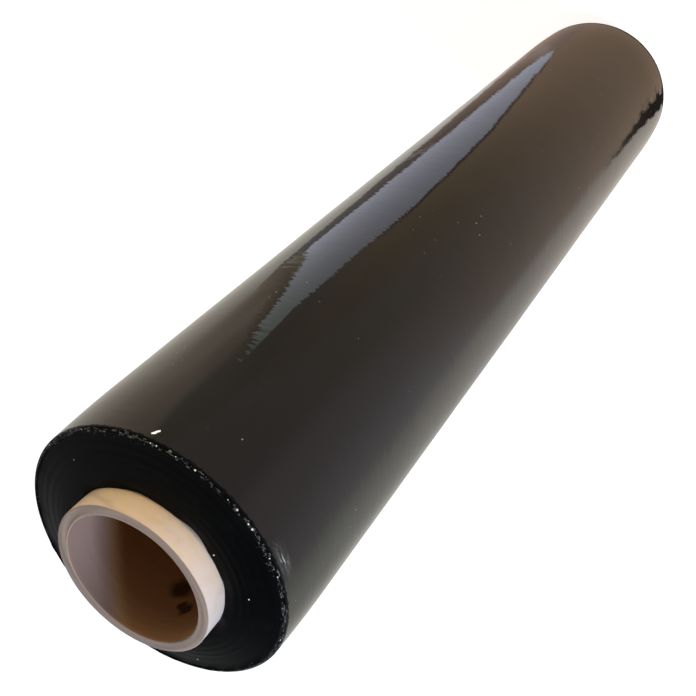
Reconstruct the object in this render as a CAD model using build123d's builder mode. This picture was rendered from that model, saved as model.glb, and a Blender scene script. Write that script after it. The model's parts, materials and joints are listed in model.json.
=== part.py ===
"""Stretch wrap roll: plastic film wound tight on a cardboard core, standing on its core end.

The origin is the centre of the core's lower end face and +Z runs up the roll's own axis.
"""

import os

from build123d import *

os.makedirs("parts", exist_ok=True)

# Core: a spirally wound cardboard tube, cut square at both ends.
core_bore = 51.0  # bore that slips over a 2 inch mandrel
core_wall = 4.0
core_projection = 12.0  # how far the core stands out past the film's rim at each end
core_edge_round = 0.4  # the saw cut's worn edges

# Film: every turn together, as one wound body.
film_width = 500.0  # width of the web, from rim to rim
film_outside = 102.0  # outside diameter of the full roll
winding_clearance = 0.0  # the first turn is pulled tight on to the core
end_crown = 3.0  # the first turns stand this far proud of the rim
neck_length = 30.0  # the stretched edges of the web wind thinner over this length
neck_drop = 0.8  # and lose this much radius at the rim
shoulder_round = 1.5  # the outer turns roll over the rim

core_bore_radius = core_bore / 2
core_outer_radius = core_bore_radius + core_wall
core_length = film_width + 2 * core_projection
film_bore_radius = core_outer_radius + winding_clearance
film_radius = film_outside / 2
rim_radius = film_radius - neck_drop
half_width = film_width / 2
half_core = core_length / 2

# Both sections are drawn from the roll's middle, with local X outward and local Y along the axis.
middle_section = Plane(origin=(0, 0, half_core), x_dir=(1, 0, 0), z_dir=(0, -1, 0))

# Core tube: a plain ring section with its four cut edges rounded.
with BuildPart() as core_tube:
    with BuildSketch(middle_section) as core_section:
        with BuildLine():
            bore_side = Line((core_bore_radius, 0), (core_bore_radius, half_core))
            cut_end = Line(bore_side @ 1, (core_outer_radius, half_core))
            Line(cut_end @ 1, (core_outer_radius, 0))
            mirror(about=Plane.XZ)
        make_face()
        fillet(core_section.vertices().group_by(Axis.Y)[0], core_edge_round)
        fillet(core_section.vertices().group_by(Axis.Y)[-1], core_edge_round)
    revolve(axis=Axis.Z)

# Film roll: flat sides that neck in towards each rim, and end faces that crown up to the core.
with BuildPart() as film_roll:
    with BuildSketch(middle_section):
        with BuildLine():
            first_turn = Line((film_bore_radius, 0), (film_bore_radius, half_width + end_crown))
            TangentArc(first_turn @ 1, (rim_radius, half_width), tangent=(1, 0))
            last_turn = Line((film_radius, 0), (film_radius, half_width - neck_length))
            TangentArc(last_turn @ 1, (rim_radius, half_width), tangent=(0, 1))
            mirror(about=Plane.XZ)
        make_face()
    revolve(axis=Axis.Z)
    end_circles = film_roll.edges().filter_by(GeomType.CIRCLE)
    rims = end_circles.filter_by(lambda circle: film_bore_radius < circle.radius < film_radius)
    fillet(rims, shoulder_round)

core_tube.part.label = "core_tube"
film_roll.part.label = "film_roll"

for piece in (core_tube, film_roll):
    export_step(piece.part, f"parts/{piece.part.label}.step")
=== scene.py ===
"""Looks of a stretch wrap roll: black film wound tight on a cardboard core, standing on its end.

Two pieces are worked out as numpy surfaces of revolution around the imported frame: the film, whose
turns are one body, and the core tube. A small studio stands around them: a pale floor, two soft
lamps, a plain backdrop, and glowing boards on the floor that only polished surfaces see.
"""

import json
import logging
import math
from collections.abc import Iterable, Sequence
from dataclasses import dataclass, field
from enum import Enum

import bpy
import numpy as np
from mathutils import Matrix, Vector

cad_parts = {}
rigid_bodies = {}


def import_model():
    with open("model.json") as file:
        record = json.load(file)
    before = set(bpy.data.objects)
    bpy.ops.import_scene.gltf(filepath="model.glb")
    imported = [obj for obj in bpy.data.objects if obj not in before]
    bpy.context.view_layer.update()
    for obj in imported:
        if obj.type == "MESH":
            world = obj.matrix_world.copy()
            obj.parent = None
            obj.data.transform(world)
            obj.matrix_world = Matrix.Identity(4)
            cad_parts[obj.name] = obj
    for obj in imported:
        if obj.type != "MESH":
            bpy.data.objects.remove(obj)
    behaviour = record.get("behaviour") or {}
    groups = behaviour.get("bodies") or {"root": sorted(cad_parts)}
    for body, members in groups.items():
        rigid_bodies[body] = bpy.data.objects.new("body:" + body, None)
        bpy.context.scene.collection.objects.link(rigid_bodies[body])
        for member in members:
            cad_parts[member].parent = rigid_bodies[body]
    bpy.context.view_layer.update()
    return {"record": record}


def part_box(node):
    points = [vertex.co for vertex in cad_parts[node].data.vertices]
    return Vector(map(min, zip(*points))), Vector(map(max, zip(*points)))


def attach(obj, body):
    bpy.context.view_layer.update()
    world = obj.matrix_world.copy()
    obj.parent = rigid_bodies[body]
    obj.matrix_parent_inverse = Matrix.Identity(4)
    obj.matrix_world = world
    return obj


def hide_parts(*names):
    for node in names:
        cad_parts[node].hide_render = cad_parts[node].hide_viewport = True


log = logging.getLogger("stretch_wrap_roll")

MM = 0.001
FULL_TURN = 2.0 * math.pi
QUARTER_TURN = 0.5 * math.pi

Colour = tuple[float, float, float]
Point = tuple[float, float, float]
Place = tuple[float, float]
Scale = tuple[float, float]
Socket = bpy.types.NodeSocket


class Slot(Enum):
    """The record's material slots."""

    CARDBOARD = "cardboard"
    FILM = "film"


class Zone(Enum):
    """Which of the film's finishes a strip of its section takes, by place in the mesh's list."""

    SIDE = 0
    END = 1


# --------------------------------------------------------------------------------------------
# Surfaces


def smoothstep(low: float, high: float, value: np.ndarray) -> np.ndarray:
    """Ramp from 0 to 1 between two values, level at both ends: 3 t squared less 2 t cubed.

    Args:
        low: Value where the ramp leaves 0.
        high: Value where the ramp reaches 1.
        value: Values to ramp.

    Returns:
        The ramped values.
    """
    share = np.clip((value - low) / (high - low), 0.0, 1.0)
    return share * share * (3.0 - 2.0 * share)


def crowded(count: int, crowding: float) -> np.ndarray:
    """Shares between 0 and 1, without either, which crowd towards both.

    Each even share s moves to s less crowding times sin(full turn times s) over a full turn.

    Args:
        count: How many shares.
        crowding: 0 for even steps, towards 1 for steps that vanish at both ends.

    Returns:
        The shares, in order.
    """
    share = np.linspace(0.0, 1.0, count + 2)[1:-1]
    return share - crowding * np.sin(FULL_TURN * share) / FULL_TURN


def bell(distance: np.ndarray, reach: float) -> np.ndarray:
    """Soft bump of height 1: e to the minus square of distance over reach."""
    return np.exp(-np.square(distance / reach))


def turn_from(azimuth: np.ndarray, centre_deg: float) -> np.ndarray:
    """Signed angle in radians from a named direction, wrapped to half a turn either way."""
    offset = azimuth - math.radians(centre_deg)
    return np.arctan2(np.sin(offset), np.cos(offset))


def waves(
    azimuth: np.ndarray, along: np.ndarray, seed: int, count: int, longest: float, most: int = 3
) -> np.ndarray:
    """Gentle unevenness over a turned surface, mostly between -1 and 1.

    A sum of sines, each with a whole number of waves around the turn and its own wavelength
    along the section: sin(k azimuth + full turn times along over length + phase), over the
    root of their count. The draws come from a fixed seed.

    Args:
        azimuth: Angles around the axis.
        along: Distances along the section in metres.
        seed: Seed of the fixed draws.
        count: How many sines are summed.
        longest: Longest wavelength along the section in metres.
        most: Most waves around the turn.

    Returns:
        The summed waves, on the grid of both inputs.
    """
    draw = np.random.default_rng(seed)
    total = np.zeros(np.broadcast(azimuth, along).shape)
    for _ in range(count):
        around = draw.integers(0, most + 1)
        length = longest * draw.uniform(0.25, 1.0)
        phase = draw.uniform(0.0, FULL_TURN)
        total += np.sin(around * azimuth + FULL_TURN * along / length + phase)
    return total / math.sqrt(count)


def turned(radius: np.ndarray, height: np.ndarray, azimuth: np.ndarray) -> np.ndarray:
    """Points of a turned surface: (r sin a, -r cos a, z), with a counted from -Y towards +X.

    Args:
        radius: Radii on the grid (around, along the section).
        height: Heights on the same grid.
        azimuth: Angles around, one row of the grid each.

    Returns:
        Points on the grid, shape (around, section, 3).
    """
    return np.stack([radius * np.sin(azimuth), -radius * np.cos(azimuth), height], axis=-1)


def grid_faces(rows: int, columns: int, close_rows: bool, close_columns: bool) -> np.ndarray:
    """Quads between the neighbours of a grid, joined end to end where it closes.

    Args:
        rows: Points in the first direction.
        columns: Points in the second direction.
        close_rows: Whether the last row joins the first.
        close_columns: Whether the last column joins the first.

    Returns:
        Four vertex numbers for each quad, rows first.
    """
    row = np.arange(rows if close_rows else rows - 1)[:, None]
    column = np.arange(columns if close_columns else columns - 1)[None, :]
    next_row, next_column = (row + 1) % rows, (column + 1) % columns
    corners = [
        row * columns + column,
        next_row * columns + column,
        next_row * columns + next_column,
        row * columns + next_column,
    ]
    return np.stack(corners, axis=-1).reshape(-1, 4)


def surface(
    name: str, points: np.ndarray, close_rows: bool = False, close_columns: bool = False
) -> bpy.types.Object:
    """Smooth-shaded object from a grid of points.

    Args:
        name: Name of the object and its mesh.
        points: Grid of points, shape (rows, columns, 3).
        close_rows: Whether the last row joins the first.
        close_columns: Whether the last column joins the first.

    Returns:
        The new object, at the origin, in the scene's collection.
    """
    rows, columns = points.shape[:2]
    faces = grid_faces(rows, columns, close_rows, close_columns)
    mesh = bpy.data.meshes.new(name)
    mesh.from_pydata(points.reshape(-1, 3).tolist(), [], faces.tolist())
    mesh.polygons.foreach_set("use_smooth", np.ones(len(faces), bool))
    mesh.update()
    made = bpy.data.objects.new(name, mesh)
    bpy.context.scene.collection.objects.link(made)
    return made


def mark_points(piece: bpy.types.Object, name: str, values: np.ndarray) -> None:
    """Store one number for each point of a piece, for its finish to read.

    Args:
        piece: The mesh object.
        name: Name of the attribute.
        values: One value for each grid point, in the grid's order.
    """
    attribute = piece.data.attributes.new(name, "FLOAT", "POINT")
    attribute.data.foreach_set("value", values.astype(np.float32).ravel())


def tint_points(piece: bpy.types.Object, name: str, colours: np.ndarray) -> None:
    """Store one colour for each point of a piece.

    Args:
        piece: The mesh object.
        name: Name of the attribute.
        colours: Red, green and blue for each grid point.
    """
    attribute = piece.data.attributes.new(name, "FLOAT_COLOR", "POINT")
    opaque = np.concatenate([colours.reshape(-1, 3), np.ones((colours.size // 3, 1))], axis=1)
    attribute.data.foreach_set("color", opaque.astype(np.float32).ravel())


# --------------------------------------------------------------------------------------------
# Finishes


@dataclass(frozen=True)
class Speck:
    """A speck on a turned surface: a painted glint, a bit of torn film, a stain or a grain of dust.

    Attributes:
        azimuth_deg: Direction, counted from -Y towards +X.
        radius: Distance of its centre from the axis.
        height: Height of its centre above the floor.
        size: How far it reaches from its centre.
    """

    azimuth_deg: float
    radius: float
    height: float
    size: float

    @property
    def centre(self) -> Point:
        """Its place in the shared frame."""
        azimuth = math.radians(self.azimuth_deg)
        return (self.radius * math.sin(azimuth), -self.radius * math.cos(azimuth), self.height)


class Graph:
    """One node tree, with short calls for the nodes that the finishes share."""

    def __init__(self, owner: bpy.types.Material | bpy.types.World) -> None:
        """Empty the owner's node tree.

        Args:
            owner: The material or backdrop that the tree belongs to.
        """
        owner.use_nodes = True
        self.owner = owner
        self.tree = owner.node_tree
        self.tree.nodes.clear()
        self.coordinates = self.add("ShaderNodeTexCoord").outputs
        self.place = self.coordinates["Object"]

    def add(self, kind: str, inputs: dict | None = None, **settings: object) -> bpy.types.Node:
        """Add a node.

        Args:
            kind: The node's type name.
            inputs: Socket name or number to a value, or to the output that feeds it.
            **settings: Properties of the node itself.

        Returns:
            The new node.
        """
        node = self.tree.nodes.new(kind)
        for name, value in settings.items():
            setattr(node, name, value)
        for key, value in (inputs or {}).items():
            if isinstance(value, Socket):
                self.tree.links.new(value, node.inputs[key])
            else:
                node.inputs[key].default_value = value
        return node

    def math(self, operation: str, first: object, second: object = 0.0) -> Socket:
        """Result of a Math node on two values or outputs."""
        return self.add("ShaderNodeMath", {0: first, 1: second}, operation=operation).outputs[0]

    def times(self, first: object, second: object) -> Socket:
        """Product of two values or outputs."""
        return self.math("MULTIPLY", first, second)

    def vector(self, operation: str, *operands: object) -> bpy.types.Node:
        """Vector Math node on vectors or outputs."""
        return self.add("ShaderNodeVectorMath", dict(enumerate(operands)), operation=operation)

    def stretched(self, scale: Scale, shift: float = 0.0) -> Socket:
        """Object coordinates scaled across and along the roll, plus the same shift on each axis."""
        across, along = scale
        return self.vector("MULTIPLY_ADD", self.place, (across, across, along), (shift,) * 3).outputs[0]

    def noise_at(self, vector: Socket, detail: float = 2.0, roughness: float = 0.5) -> Socket:
        """Fractal noise between 0 and 1 at a vector."""
        inputs = {"Vector": vector, "Scale": 1.0, "Detail": detail, "Roughness": roughness}
        return self.add("ShaderNodeTexNoise", inputs).outputs["Fac"]

    def noise(
        self, scale: Scale, shift: float = 0.0, detail: float = 2.0, roughness: float = 0.5
    ) -> Socket:
        """Fractal noise between 0 and 1, with so many grains for each metre across and along."""
        return self.noise_at(self.stretched(scale, shift), detail, roughness)

    def ramp(
        self, value: object, start: float, end: float, low: float = 0.0, high: float = 1.0
    ) -> Socket:
        """Smooth ramp of a value from low at start to high at end."""
        inputs = {"Value": value, "From Min": start, "From Max": end, "To Min": low, "To Max": high}
        return self.add("ShaderNodeMapRange", inputs, interpolation_type="SMOOTHSTEP").outputs[0]

    def blend(self, share: object, first: object, second: object) -> Socket:
        """Mix two colours.

        Args:
            share: Share of the second colour.
            first: First colour, or the output that gives it.
            second: Second colour, or the output that gives it.

        Returns:
            The mixed colour.
        """
        node = self.add("ShaderNodeMix", {"Factor": share}, data_type="RGBA")
        for key, value in (("A_Color", first), ("B_Color", second)):
            socket = next(item for item in node.inputs if item.identifier == key)
            if isinstance(value, Socket):
                self.tree.links.new(value, socket)
            else:
                socket.default_value = (*value, 1.0)
        return next(item for item in node.outputs if item.identifier == "Result_Color")

    def mark(self, name: str) -> Socket:
        """Value stored on the mesh's points."""
        return self.add("ShaderNodeAttribute", attribute_name=name).outputs["Fac"]

    def radius(self) -> Socket:
        """Distance of a point from the roll's axis."""
        return self.vector("LENGTH", self.stretched((1.0, 0.0))).outputs["Value"]

    def cells(self, spacing: float) -> tuple[Socket, Socket]:
        """Scatter seeds at random.

        Args:
            spacing: Mean distance between neighbours.

        Returns:
            Distance to the nearest seed, in spacings, and that seed's own draw.
        """
        cells = self.add("ShaderNodeTexVoronoi", {"Vector": self.place, "Scale": 1.0 / spacing})
        draw = self.add("ShaderNodeSeparateColor", {0: cells.outputs["Color"]}).outputs[1]
        return cells.outputs["Distance"], draw

    def specks(self, specks: Iterable[Speck], sharpness: float, fray: float = 0.0) -> Socket:
        """Cover of round specks: 1 inside any of them, falling to 0 at its edge.

        Args:
            specks: The specks.
            sharpness: Share of a speck's size that is covered in full.
            fray: How far the specks' edges stray from round.

        Returns:
            The cover, between 0 and 1.
        """
        cover: object = 0.0
        stray = self.times(self.math("SUBTRACT", self.noise((240.0, 240.0)), 0.5), fray)
        for speck in specks:
            away = self.vector("DISTANCE", self.place, speck.centre).outputs["Value"]
            disc = self.ramp(self.math("ADD", away, stray), speck.size, sharpness * speck.size)
            cover = self.math("MAXIMUM", cover, disc)
        return cover

    def bump(self, height: Socket, distance: float, normal: Socket | None = None) -> Socket:
        """Normal tilted by a height.

        Args:
            height: Height between 0 and 1.
            distance: How high a height of 1 stands, in metres.
            normal: Normal from an earlier bump.

        Returns:
            The tilted normal.
        """
        inputs = {"Height": height, "Distance": distance}
        if normal is not None:
            inputs["Normal"] = normal
        return self.add("ShaderNodeBump", inputs).outputs[0]

    def close(
        self, shader: str, inputs: dict, output: str = "ShaderNodeOutputMaterial"
    ) -> bpy.types.Material | bpy.types.World:
        """Join the last shader to the output.

        Args:
            shader: Type name of the shader.
            inputs: Its sockets.
            output: Type name of the output node.

        Returns:
            The finished owner of the tree.
        """
        self.add(output, {"Surface": self.add(shader, inputs).outputs[0]})
        return self.owner


def shade(colour: Colour, share: float) -> Colour:
    """A colour made darker or lighter by a share."""
    return tuple(share * part for part in colour)


@dataclass(frozen=True)
class PolishedFilm:
    """The roll's side: black film pulled so tight that it mirrors the room.

    Each scale counts grains of a pattern for each metre, across and along the roll.

    Attributes:
        flecks: Flakes of film that cling to the side.
        black: Colour of the pigmented film.
        haze: Colour where the outer turn is a little cloudy.
        haze_scale: Scale of the haze.
        gloss: Roughness of clean film.
        hazy_gloss: Roughness of cloudy film.
        ridge_scale: Scale of the stretch ridges, which run round the roll.
        ridge_height: How high the ridges stand.
        ripple_scale: Scale of the slow ripples.
        ripple_height: How high the ripples stand.
        fold_scale: Scale of the folds in the crushed patch.
        fold_height: How high those folds stand.
        fold_dull: Roughness of the crushed patch.
        crease_highlight: Painted highlight: pale blue on the folds' crests, which stands in for the
            window light that they reflect.
        dust: Colour of the dust.
        dust_cell: Spacing of the grains of dust.
        dust_scale: Scale of the patches where dust has settled.
        dust_dull: Roughness of the dust.
        fleck: Colour of the flakes.
        fleck_dull: Roughness of the flakes.
    """

    flecks: tuple[Speck, ...]
    black: Colour = (0.0012, 0.0011, 0.0011)
    haze: Colour = (0.0026, 0.0024, 0.0022)
    haze_scale: Scale = (14.0, 9.0)
    gloss: float = 0.028
    hazy_gloss: float = 0.0476
    ridge_scale: Scale = (95.0, 440.0)
    ridge_height: float = 0.058 * MM
    ripple_scale: Scale = (26.0, 40.0)
    ripple_height: float = 0.13 * MM
    fold_scale: Scale = (150.0, 800.0)
    fold_height: float = 1.6 * MM
    fold_dull: float = 0.16
    crease_highlight: Colour = (0.27, 0.31, 0.35)
    dust: Colour = (0.17, 0.165, 0.15)
    dust_cell: float = 4.6 * MM
    dust_scale: Scale = (23.0, 23.0)
    dust_dull: float = 0.42
    fleck: Colour = (0.92, 0.92, 0.90)
    fleck_dull: float = 0.6

    def settled_dust(self, graph: Graph) -> Socket:
        """Cover of the dust: grains of several sizes, which lie only in patches.

        Args:
            graph: The material's node tree.

        Returns:
            The cover, between 0 and 1.
        """
        away, draw = graph.cells(self.dust_cell)
        grains = graph.math("LESS_THAN", away, graph.ramp(draw, 0.0, 1.0, 0.02, 0.07))
        return graph.times(grains, graph.ramp(graph.noise(self.dust_scale, shift=9.1), 0.44, 0.62))

    def material(self) -> bpy.types.Material:
        """Build the material: ridges run round the roll, haze drifts, dust and flakes cling, and the
        folds of the crushed patch get a painted highlight.

        Returns:
            The side's material.
        """
        graph = Graph(bpy.data.materials.new("polished_film"))
        cloud = graph.ramp(graph.noise(self.haze_scale, detail=3.0), 0.35, 0.75)
        dusty = self.settled_dust(graph)
        flakes = graph.specks(self.flecks, sharpness=0.75)
        crushed = graph.mark("crushed")
        folds = graph.noise(self.fold_scale)
        # Painted highlight: pale blue on the crests of the crushed patch's folds, in place of the window
        # light that they reflect.
        painted_crease_highlight = graph.times(graph.ramp(folds, 0.50, 0.66), graph.ramp(crushed, 0.15, 0.9))
        base = graph.blend(cloud, self.black, self.haze)
        rough = graph.ramp(cloud, 0.0, 1.0, self.gloss, self.hazy_gloss)
        for cover, colour in ((dusty, self.dust), (flakes, self.fleck), (painted_crease_highlight, self.crease_highlight)):
            base = graph.blend(cover, base, colour)
        dulls = ((dusty, self.dust_dull), (flakes, self.fleck_dull), (crushed, self.fold_dull))
        for cover, dull in dulls:
            rough = graph.math("MAXIMUM", rough, graph.times(cover, dull))
        ridges = graph.noise(self.ridge_scale, detail=1.5, roughness=0.55)
        normal = graph.bump(graph.noise(self.ripple_scale, shift=3.7, detail=1.0), self.ripple_height)
        normal = graph.bump(ridges, self.ridge_height, normal)
        normal = graph.bump(graph.times(folds, crushed), self.fold_height, normal)
        inputs = {"Base Color": base, "Roughness": rough, "Normal": normal, "IOR": 1.5}
        return graph.close("ShaderNodeBsdfPrincipled", inputs)


@dataclass(frozen=True)
class FilmEdges:
    """The roll's end faces and rolled rims: hundreds of cut film edges, which swallow light.

    Each scale counts grains of a pattern for each metre, across and along the roll.

    Attributes:
        crumbs_and_glints: Bright specks: painted glints on the rim, and bits of torn film on the face.
        black: Colour of the stacked edges.
        wear_and_painted_light: Colour where edges are scuffed.
        scuff_scale: Scale of the scuffs.
        rings: Rings for each metre of radius.
        ring_scale: Scale at which the rings change round the roll.
        ring_height: How far single turns stand out.
        strand_highlight: Painted highlight: grey of the last turn's torn strands, in place of the light
            that their edges catch.
        strands: Distance of each strand from the lip, and how far it strays from there.
        strand_width: Half the width of a strand.
        stray_scale: Scale at which the strands stray.
        break_scale: Scale at which the strands break off.
        glint_cell: Spacing of the painted glints along the lip.
        glint_reach: How far from the lip they start to thin out, and how far they reach.
        glint_scale: Scale of the patches that they crowd in.
        crumb_and_glint: White of the specks on the face and of the painted glints on the rim.
    """

    crumbs_and_glints: tuple[Speck, ...]
    black: Colour = (0.0024, 0.0027, 0.0028)
    wear_and_painted_light: Colour = (0.0085, 0.0095, 0.0098)
    scuff_scale: Scale = (70.0, 70.0)
    rings: float = 1600.0
    ring_scale: Scale = (26.0, 0.0)
    ring_height: float = 0.02 * MM
    strand_highlight: Colour = (0.15, 0.15, 0.145)
    strands: tuple[tuple[float, float], ...] = (
        (0.55 * MM, 0.55 * MM), (0.20 * MM, 1.2 * MM), (0.95 * MM, 1.2 * MM),
    )
    strand_width: float = 0.15 * MM
    stray_scale: Scale = (520.0, 0.0)
    break_scale: Scale = (430.0, 0.0)
    glint_cell: float = 0.85 * MM
    glint_reach: tuple[float, float] = (0.4 * MM, 2.4 * MM)
    glint_scale: Scale = (75.0, 75.0)
    crumb_and_glint: Colour = (0.95, 0.95, 0.93)

    def torn_strand_highlights(self, graph: Graph) -> Socket:
        """Cover of the torn strands, whose grey is painted highlight: thin, ragged, broken lines that
        follow the rim.

        Args:
            graph: The material's node tree.

        Returns:
            The cover, between 0 and 1.
        """
        cover: object = 0.0
        for number, (place, wander) in enumerate(self.strands):
            ragged = graph.noise(self.stray_scale, shift=7.3 * number, detail=3.0, roughness=0.7)
            stray = graph.ramp(ragged, 0.0, 1.0, place - wander, place + wander)
            away = graph.math("ABSOLUTE", graph.math("SUBTRACT", graph.mark("from_lip"), stray))
            line = graph.ramp(away, self.strand_width, 0.3 * self.strand_width)
            whole = graph.noise(self.break_scale, shift=2.1 + 5.9 * number, detail=3.0)
            line = graph.times(line, graph.ramp(whole, 0.49, 0.58))
            cover = graph.math("MAXIMUM", cover, line)
        return cover

    def glints(self, graph: Graph) -> Socket:
        """Cover of the painted glints: tiny bright dots, which crowd in patches on the lip and the torn
        band.

        Args:
            graph: The material's node tree.

        Returns:
            The cover, between 0 and 1.
        """
        away, draw = graph.cells(self.glint_cell)
        dots = graph.math("LESS_THAN", away, graph.ramp(draw, 0.35, 1.0, 0.0, 0.27))
        near, far = self.glint_reach
        near_lip = graph.ramp(graph.math("ABSOLUTE", graph.mark("from_lip")), far, near)
        patchy = graph.ramp(graph.noise(self.glint_scale, shift=4.4), 0.42, 0.60)
        return graph.times(dots, graph.times(near_lip, patchy))

    def material(self) -> bpy.types.Material:
        """Build the material: faint rings, scuffs, torn strands in painted highlight, painted glints and
        specks.

        Returns:
            The end faces' material.
        """
        graph = Graph(bpy.data.materials.new("film_edges"))
        ring = graph.add("ShaderNodeCombineXYZ", {2: graph.times(graph.radius(), self.rings)}).outputs[0]
        ring = graph.vector("ADD", graph.stretched(self.ring_scale), ring).outputs[0]
        rings = graph.noise_at(ring, detail=3.0, roughness=0.65)
        scuff = graph.ramp(graph.noise(self.scuff_scale, detail=4.0, roughness=0.6), 0.50, 0.78)
        scuff = graph.times(scuff, graph.ramp(rings, 0.38, 0.62))
        base = graph.blend(scuff, self.black, self.wear_and_painted_light)
        # Painted highlight: grey lines along the rim stand in for the light that the torn edges catch.
        base = graph.blend(self.torn_strand_highlights(graph), base, self.strand_highlight)
        # Painted glints: grey-white dots on the lip and the torn band.
        base = graph.blend(self.glints(graph), base, shade(self.crumb_and_glint, 0.35))
        # Painted glints on the rim, white dots in place of the light that its torn edges catch; on the
        # face, real specks of torn film.
        base = graph.blend(graph.specks(self.crumbs_and_glints, sharpness=0.7), base, self.crumb_and_glint)
        inputs = {
            "Base Color": base,
            "Roughness": graph.ramp(scuff, 0.0, 1.0, 0.40, 0.62),
            "Normal": graph.bump(rings, self.ring_height),
            "IOR": 1.45,
            "Specular IOR Level": 0.06,
        }
        return graph.close("ShaderNodeBsdfPrincipled", inputs)


@dataclass(frozen=True)
class WoundBoard:
    """Spirally wound cardboard: a smooth outside ply, a brown bore and a cut, fuzzy end.

    Each scale counts grains of a pattern for each metre, across and along the tube.

    Attributes:
        smudges: Ink smudges in the bore.
        liner: Colour of the outside ply, away from its painted light.
        painted_lit: Painted light: pinkish grey of the outside ply on the side that faces the cool key
            lamp.
        liner_drift_scale: Scale of the random drift between those two.
        liner_drift: How much the share of painted light drifts at random.
        handled_scale: Scale of the darker marks that handling has left.
        handled_share: Most that those marks show.
        inside: Colour of the bore's ply.
        painted_bore_light: Painted light: lilac grey of the bore's ply where the key lamp's slanting
            light reaches in.
        band_scale: Scale of the bands in the bore.
        band_share: Most that the bands show.
        cut: Colour of the sawn end.
        cut_dark: Colour of the sawn end where it is soiled, and in its painted shade.
        soil_scale: Scale of the soiled parts.
        grain_scale: Scale of the sawn end's grain.
        grain_share: Most that the grain shows.
        plies: Plies for each metre of radius.
        ply_share: Most that the plies show on the sawn end.
        seam: Colour in the seam between two turns of a ply.
        seam_share: Most that the seam shows.
        ink: Colour of the smudges.
        smudge_fray: How far the smudges' edges stray from round.
        fibre_scale: Scale of the board's fibres, which lie round the tube.
        fibre_height: How high the fibres stand.
    """

    smudges: tuple[Speck, ...]
    liner: Colour = (0.57, 0.43, 0.25)
    painted_lit: Colour = (0.50, 0.425, 0.39)
    liner_drift_scale: Scale = (55.0, 90.0)
    liner_drift: float = 0.35
    handled_scale: Scale = (170.0, 230.0)
    handled_share: float = 0.26
    inside: Colour = (0.57, 0.295, 0.115)
    painted_bore_light: Colour = (0.275, 0.178, 0.145)
    band_scale: Scale = (18.0, 420.0)
    band_share: float = 0.14
    cut: Colour = (0.56, 0.40, 0.295)
    cut_dark: Colour = (0.53, 0.385, 0.305)
    soil_scale: Scale = (34.0, 34.0)
    grain_scale: Scale = (900.0, 900.0)
    grain_share: float = 0.16
    plies: float = 1700.0
    ply_share: float = 0.14
    seam: Colour = (0.33, 0.23, 0.15)
    seam_share: float = 0.45
    ink: Colour = (0.120, 0.058, 0.026)
    smudge_fray: float = 4.0 * MM
    fibre_scale: Scale = (260.0, 1100.0)
    fibre_height: float = 0.032 * MM

    def wall(self, graph: Graph, wear_and_painted_light: Socket) -> Socket:
        """Colour of the tube's outside and bore.

        Args:
            graph: The material's node tree.
            wear_and_painted_light: Share of painted light: on the outside towards the key lamp, and in
                the bore down to where its slanting light reaches.

        Returns:
            The colour, with its seams.
        """
        uneven = graph.ramp(graph.noise(self.liner_drift_scale, detail=3.0), 0.32, 0.68)
        drift = graph.times(graph.math("SUBTRACT", uneven, 0.5), self.liner_drift)
        # Painted light: the outside turns pinkish grey towards the cool key lamp, with a random drift.
        outside = graph.blend(graph.math("ADD", wear_and_painted_light, drift), self.liner, self.painted_lit)
        grains = graph.noise(self.handled_scale, shift=5.1, detail=4.0, roughness=0.6)
        handled = graph.times(graph.ramp(grains, 0.46, 0.68), self.handled_share)
        outside = graph.blend(handled, outside, shade(self.liner, 0.70))
        # Painted light: the bore turns lilac grey down to where the key lamp's slanting light reaches
        # in.
        inside = graph.blend(wear_and_painted_light, self.inside, self.painted_bore_light)
        bands = graph.times(graph.ramp(graph.noise(self.band_scale), 0.30, 0.70), self.band_share)
        inside = graph.blend(bands, inside, shade(self.inside, 0.4))
        smudged = graph.specks(self.smudges, sharpness=0.4, fray=self.smudge_fray)
        inside = graph.blend(smudged, inside, self.ink)
        wall = graph.blend(graph.mark("bore"), outside, inside)
        return graph.blend(graph.times(graph.mark("seam"), self.seam_share), wall, self.seam)

    def sawn_end(self, graph: Graph, wear_and_painted_light: Socket) -> Socket:
        """Colour of the tube's cut ends.

        Args:
            graph: The material's node tree.
            wear_and_painted_light: Share of painted light, which lessens the darker tone.

        Returns:
            The colour, with its soiling and painted shade, its grain and its plies.
        """
        # Soiling, plus painted shade: the cut end darkens away from its palest direction.
        soil_and_painted_shade = graph.math("SUBTRACT", graph.noise(self.soil_scale, shift=1.3), graph.times(wear_and_painted_light, 0.5))
        end = graph.blend(graph.ramp(soil_and_painted_shade, 0.05, 0.50), self.cut, self.cut_dark)
        grain = graph.ramp(graph.noise(self.grain_scale, detail=3.0), 0.30, 0.75)
        end = graph.blend(graph.times(grain, self.grain_share), end, shade(self.cut_dark, 0.6))
        ply = graph.add("ShaderNodeCombineXYZ", {2: graph.times(graph.radius(), self.plies)}).outputs[0]
        ply = graph.ramp(graph.noise_at(ply, detail=1.0), 0.40, 0.62)
        return graph.blend(graph.times(ply, self.ply_share), end, shade(self.cut_dark, 0.7))

    def material(self) -> bpy.types.Material:
        """Build the material: fibres lie round the tube, seams climb it, the cut end is fuzzy, and a
        stored share gives its painted light and shade.

        Returns:
            The core's material.
        """
        graph = Graph(bpy.data.materials.new("wound_board"))
        # Share of painted light and shade, stored on the tube's points.
        wear_and_painted_light = graph.mark("wear_and_painted_light")
        fibre = graph.noise(self.fibre_scale, detail=5.0, roughness=0.7)
        inputs = {
            "Base Color": graph.blend(
                graph.mark("cut"), self.wall(graph, wear_and_painted_light), self.sawn_end(graph, wear_and_painted_light)
            ),
            "Roughness": 0.80,
            "Normal": graph.bump(fibre, self.fibre_height),
            "IOR": 1.4,
            "Specular IOR Level": 0.25,
        }
        return graph.close("ShaderNodeBsdfPrincipled", inputs)


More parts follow.
